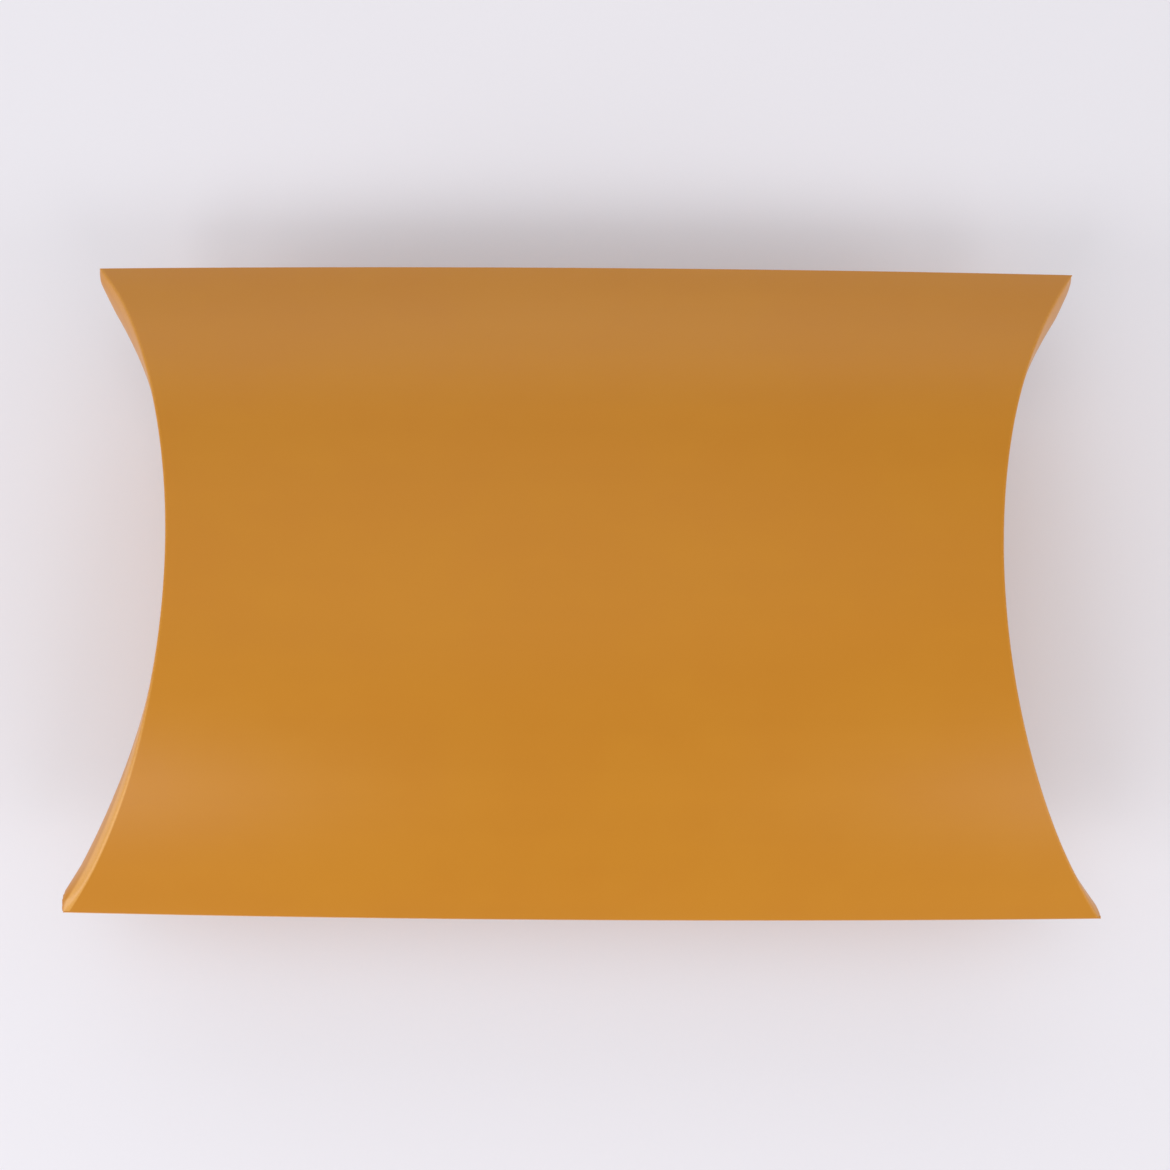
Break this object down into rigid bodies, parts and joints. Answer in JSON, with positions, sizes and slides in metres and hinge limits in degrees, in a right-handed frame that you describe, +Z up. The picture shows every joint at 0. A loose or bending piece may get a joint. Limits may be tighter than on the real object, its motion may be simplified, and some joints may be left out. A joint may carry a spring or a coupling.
{
  "type": "pillow box",
  "caption": "Folded card gift box with two arched panels, concave ends and a pair of hinged, overlapping curved flaps at each end.",
  "frame": {"origin": "middle of the box's footprint, on the surface that it rests on", "axes": "+X along the length of the box, from one flapped end to the other; +Y across it, towards the long edge with the glued seam; +Z up"},
  "size_m": [0.16, 0.1046, 0.0349],
  "materials": {
    "coated_card": "satin, mustard gold, slightly pearlescent coating",
    "adhesive": "dried white glue"
  },
  "bodies": {
    "sleeve": {"upper_panel": "coated_card", "lower_panel": "coated_card", "long_fold": "coated_card", "seam_tab": "coated_card", "glue_line": "adhesive"},
    "right_outer": {"right_outer_flap": "coated_card"},
    "right_inner": {"right_inner_flap": "coated_card"},
    "left_outer": {"left_outer_flap": "coated_card"},
    "left_inner": {"left_inner_flap": "coated_card"}
  },
  "joints": [
    {"name": "right_outer_hinge", "type": "hinge", "parent": "sleeve", "child": "right_outer", "pos_m": [0.0613, 0, 0.0349], "axis": [0, -1, 0], "range_deg": [0, 110]},
    {"name": "right_inner_hinge", "type": "hinge", "parent": "sleeve", "child": "right_inner", "pos_m": [0.0613, 0, 0], "axis": [0, 1, 0], "range_deg": [0, 66]},
    {"name": "left_outer_hinge", "type": "hinge", "parent": "sleeve", "child": "left_outer", "pos_m": [-0.0613, 0, 0.0349], "axis": [0, 1, 0], "range_deg": [0, 110]},
    {"name": "left_inner_hinge", "type": "hinge", "parent": "sleeve", "child": "left_inner", "pos_m": [-0.0613, 0, 0], "axis": [0, -1, 0], "range_deg": [0, 66]}
  ],
  "couplings": [
    {"joint": "right_inner_hinge", "follows": "right_outer_hinge", "ratio": 0.6},
    {"joint": "left_inner_hinge", "follows": "left_outer_hinge", "ratio": 0.6}
  ]
}
